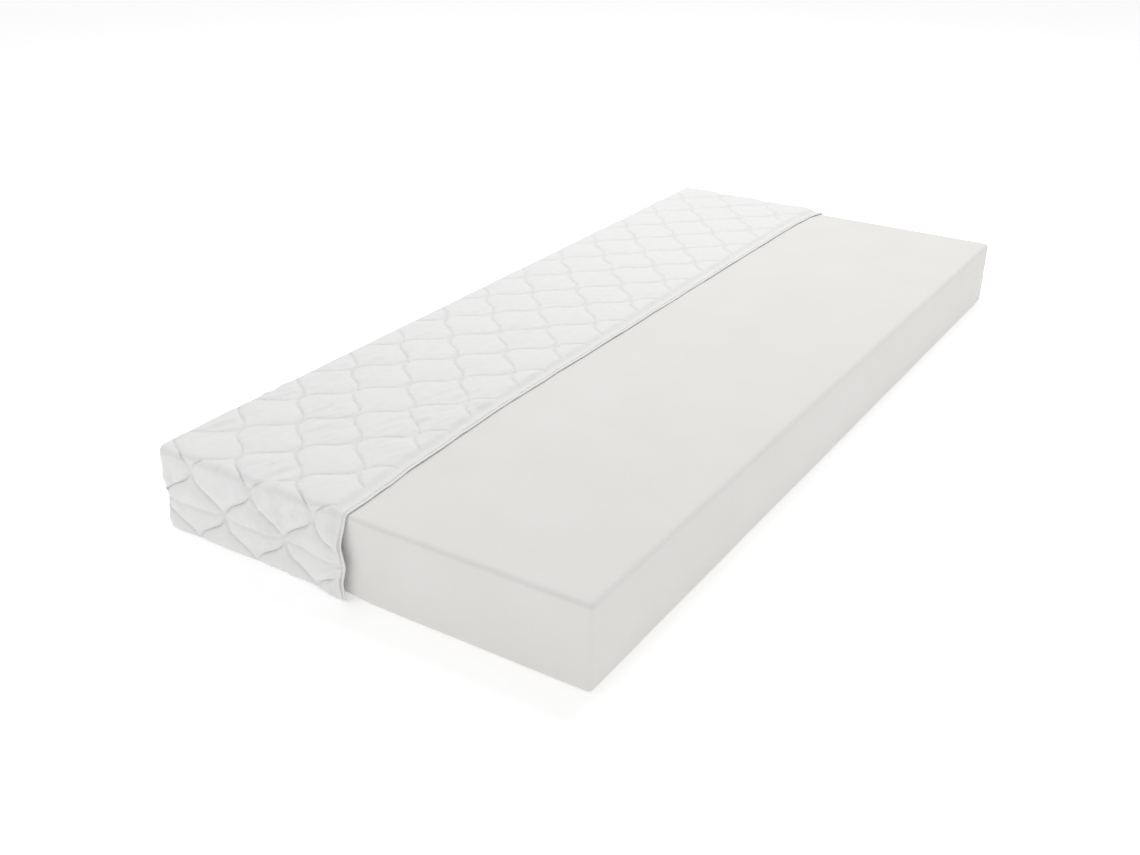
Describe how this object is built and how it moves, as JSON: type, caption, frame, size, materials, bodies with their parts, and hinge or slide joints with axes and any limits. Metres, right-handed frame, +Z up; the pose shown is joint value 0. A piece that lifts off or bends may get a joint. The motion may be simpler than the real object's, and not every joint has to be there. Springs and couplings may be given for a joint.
{
  "type": "foam mattress",
  "caption": "Single-bed foam mattress block with a quilted removable cover drawn over one long half, open along its hem on top of the foam.",
  "frame": {"origin": "middle of the overall box, on the plane the mattress lies on", "axes": "+Y along the length, +X across from the cover's closed side to the bare foam, +Z up"},
  "size_m": [0.89, 2, 0.17],
  "materials": {
    "foam": "matte open-cell polyurethane foam",
    "cover_fabric": "white knitted polyester, quilted",
    "wadding": "white polyester fibre wadding",
    "backing": "thin white non-woven scrim",
    "thread": "white polyester sewing thread"
  },
  "bodies": {
    "core": {"foam_core": "foam"},
    "cover": {"wrap_face_fabric": "cover_fabric", "top_wadding": "wadding", "near_end_wadding": "wadding", "far_end_wadding": "wadding", "wrap_backing": "backing", "side_face_fabric": "cover_fabric", "side_wadding": "wadding", "side_backing": "backing", "base_face_fabric": "cover_fabric", "base_wadding": "wadding", "base_backing": "backing", "hem_overlock_edge": "thread", "hem_stitch_row_outer": "thread", "hem_stitch_row_inner": "thread", "wrap_quilting_threads": "thread", "side_quilting_threads": "thread", "side_top_seam": "thread", "side_base_seam": "thread", "side_corner_seams": "thread", "base_end_seams": "thread"}
  },
  "joints": [
    {"name": "cover_pull_off", "type": "slide", "parent": "core", "child": "cover", "axis": [-1, 0, 0], "range_m": [0, 0.46]}
  ]
}
